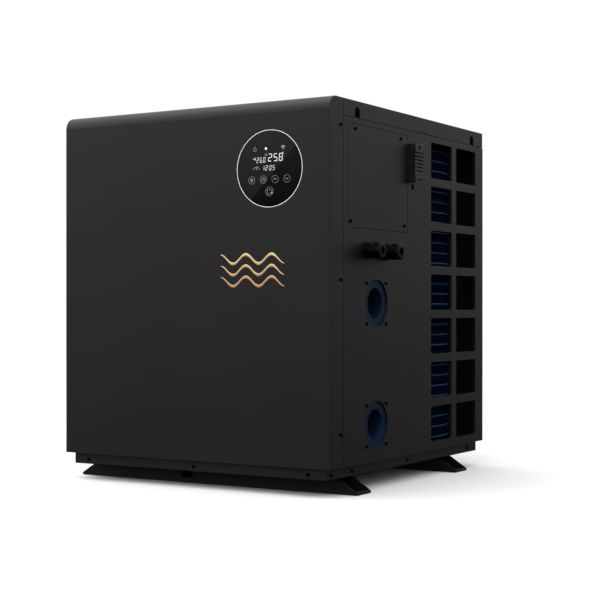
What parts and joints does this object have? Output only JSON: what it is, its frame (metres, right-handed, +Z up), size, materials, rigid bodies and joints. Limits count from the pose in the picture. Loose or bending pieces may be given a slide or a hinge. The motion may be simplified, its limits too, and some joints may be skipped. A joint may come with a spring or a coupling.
{
  "type": "pool heat pump",
  "caption": "Box-shaped swimming pool heat pump: closed front with round touch display, coil windows at sides and rear, side water sockets and cable glands, fan under a lid guard, foot rails.",
  "frame": {"origin": "on the floor, in the middle of the four foot slots", "axes": "+Z up, the closed front faces -Y, the water sockets face +X"},
  "size_m": [0.541, 0.5474, 0.599],
  "materials": {
    "cabinet_paint": "fine satin powder coat, near black",
    "rail_paint": "satin powder coat, near black",
    "guard_paint": "plastic dipped wire, black",
    "machine_paint": "black gloss paint on steel",
    "motor_paint": "grey enamel",
    "zinc_steel": "zinc plated",
    "galvanised_steel": "galvanised sheet",
    "paddle_steel": "stainless",
    "black_screw": "blackened steel",
    "black_plastic": "moulded, fine texture",
    "gland_plastic": "moulded nylon",
    "blue_plastic": "moulded dark blue",
    "fan_plastic": "moulded, glass filled",
    "grey_pvc": "grey pipe plastic",
    "rubber": "black rubber",
    "display_ring": "white light guide",
    "display_glass": "black printed glass",
    "circuit_board": "green solder mask",
    "gold_trim": "satin gold",
    "blue_fins": "blue hydrophilic coating",
    "copper": "drawn copper",
    "titanium": "titanium tube",
    "brass": "machined brass",
    "heat_sink_metal": "extruded aluminium"
  },
  "bodies": {
    "cabinet": {"accumulator": "machine_paint", "base_pan": "cabinet_paint", "compressor_foot": "machine_paint", "compressor_grommets": "rubber", "compressor_shell": "machine_paint", "compressor_studs": "zinc_steel", "discharge_pipe": "copper", "display_board": "circuit_board", "display_glass": "display_glass", "display_housing": "black_plastic", "display_ring": "display_ring", "drain_spout": "black_plastic", "electrical_box": "galvanised_steel", "evaporator_end_plates": "galvanised_steel", "evaporator_fins": "blue_fins", "evaporator_pipe": "copper", "evaporator_tubes": "copper", "exchanger_pipe": "copper", "exchanger_saddle": "galvanised_steel", "expansion_valve": "brass", "fan_guard": "guard_paint", "fan_motor": "motor_paint", "fan_shroud": "cabinet_paint", "flow_switch_body": "black_plastic", "front_cover": "cabinet_paint", "front_emblem": "gold_trim", "front_foot_rail": "rail_paint", "gland_bodies": "gland_plastic", "gland_caps": "gland_plastic", "gland_locknuts": "gland_plastic", "gland_seals": "rubber", "heat_exchanger_caps": "grey_pvc", "heat_exchanger_shell": "grey_pvc", "heat_sink": "heat_sink_metal", "left_side_panel": "cabinet_paint", "liquid_pipes": "copper", "main_board": "circuit_board", "motor_bracket": "galvanised_steel", "panel_screws": "black_screw", "partition": "galvanised_steel", "rail_bolts": "zinc_steel", "rear_foot_rail": "rail_paint", "rear_panel": "cabinet_paint", "reversing_valve": "brass", "right_side_panel": "cabinet_paint", "sensor_box": "black_plastic", "sensor_probe": "zinc_steel", "service_cover": "cabinet_paint", "suction_pipe": "copper", "terminal_block": "black_plastic", "titanium_coil": "titanium", "top_lid": "cabinet_paint", "valve_solenoid": "black_plastic", "water_collars": "blue_plastic"},
    "fan": {"fan_rotor": "fan_plastic", "fan_shaft": "zinc_steel", "fan_nut": "zinc_steel"},
    "paddle": {"flow_paddle": "paddle_steel"},
    "piston": {"valve_piston": "paddle_steel"}
  },
  "joints": [
    {"name": "fan_spin", "type": "hinge", "parent": "cabinet", "child": "fan", "pos_m": [0, 0.11, 0.54], "axis": [0, 0, 1], "continuous": true},
    {"name": "paddle_swing", "type": "hinge", "parent": "cabinet", "child": "paddle", "pos_m": [0.194, -0.1185, 0.126], "axis": [0, 1, 0], "range_deg": [0, 18], "stiffness_Nm_per_rad": 0.02},
    {"name": "valve_shift", "type": "slide", "parent": "cabinet", "child": "piston", "axis": [1, 0, 0], "range_m": [0, 0.021]}
  ]
}
